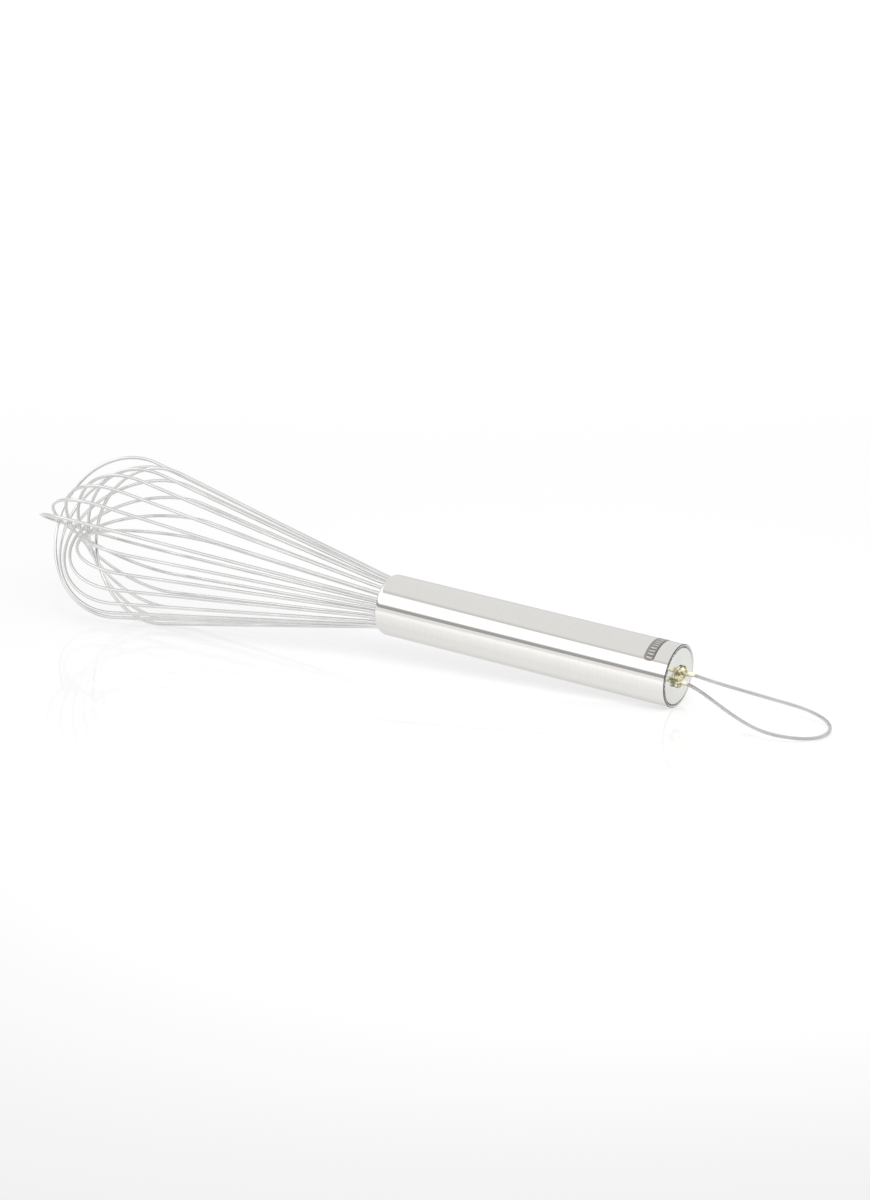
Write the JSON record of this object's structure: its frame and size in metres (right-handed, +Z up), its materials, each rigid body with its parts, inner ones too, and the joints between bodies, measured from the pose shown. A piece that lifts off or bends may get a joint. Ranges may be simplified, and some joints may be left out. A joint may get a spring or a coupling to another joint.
{
  "type": "balloon whisk",
  "caption": "Balloon whisk: nested spring-wire loops potted in a round steel tube handle, with a flat end cap and a hanging loop of thin wire rope.",
  "frame": {"origin": "on the table, under the middle of the whisk's length without its hanging loop, in the plane that splits the handle in two", "axes": "+Z up from the table, +X from the balloon to the end cap, +Y to the left of someone looking along +X"},
  "size_m": [0.3624, 0.0664, 0.0669],
  "materials": {
    "spring_wire": "drawn and polished spring wire",
    "polished_tube": "polished, with faint turning lines",
    "core_plug": "moulded, matt",
    "potting_resin": "cast epoxy, amber",
    "polished_cap": "polished flat",
    "seam_sealant": "dark sealant",
    "wire_rope": "stranded and bright",
    "ferrule": "crimped, dull",
    "exit_resin": "cast epoxy drops, olive"
  },
  "bodies": {
    "whisk": {"wire_loop_01": "spring_wire", "wire_loop_02": "spring_wire", "wire_loop_03": "spring_wire", "wire_loop_04": "spring_wire", "wire_loop_05": "spring_wire", "wire_loop_06": "spring_wire", "wire_loop_07": "spring_wire", "wire_loop_08": "spring_wire", "wire_loop_09": "spring_wire", "wire_loop_10": "spring_wire", "wire_loop_11": "spring_wire", "wire_loop_12": "spring_wire", "handle_tube": "polished_tube", "core_plug": "core_plug", "mouth_resin": "potting_resin", "end_cap": "polished_cap", "cap_seal": "seam_sealant", "rope_tail_upper": "wire_rope", "rope_tail_lower": "wire_rope", "rope_ferrule": "ferrule", "rope_resin": "exit_resin"},
    "rope_loop": {"hanging_loop": "wire_rope"}
  },
  "joints": [
    {"name": "hanging_loop_flex", "type": "hinge", "parent": "whisk", "child": "rope_loop", "pos_m": [0.15036, 0, 0.01226], "axis": [-0.0497, -0.809, -0.5857], "range_deg": [0, 50], "stiffness_Nm_per_rad": 0.06}
  ]
}
